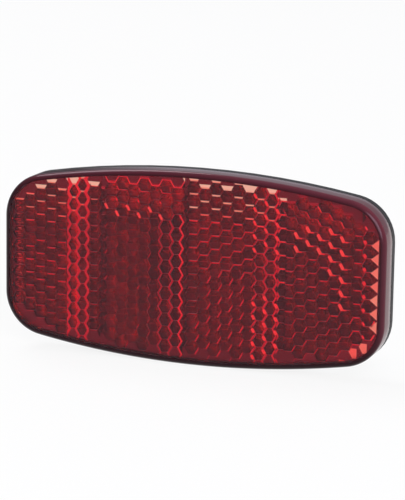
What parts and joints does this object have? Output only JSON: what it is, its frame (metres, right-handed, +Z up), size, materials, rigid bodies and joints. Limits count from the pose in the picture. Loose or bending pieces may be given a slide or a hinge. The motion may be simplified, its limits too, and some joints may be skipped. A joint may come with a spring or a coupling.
{
  "type": "bicycle rear reflector",
  "caption": "Wide red rear reflector for a bicycle carrier: prism lens on a black base plate with two threaded studs, washers and nuts.",
  "frame": {"origin": "middle of the flat seat on the back of the base plate, level with the ends of both bosses and half way between the studs", "axes": "+Y out of the back along the studs, +X to the right as seen from the front, +Z up when fitted; the lens faces -Y"},
  "size_m": [0.095, 0.0255, 0.0462],
  "materials": {
    "red_lens": "clear red, polished front",
    "black_plastic": "fine moulded grain",
    "zinc_steel": "bright zinc plating"
  },
  "bodies": {
    "root": {"lens": "red_lens", "base_plate": "black_plastic", "stud_left": "zinc_steel", "stud_right": "zinc_steel", "washer_left": "zinc_steel", "washer_right": "zinc_steel", "spring_washer_left": "zinc_steel", "spring_washer_right": "zinc_steel", "nut_left": "zinc_steel", "nut_right": "zinc_steel"}
  },
  "joints": []
}
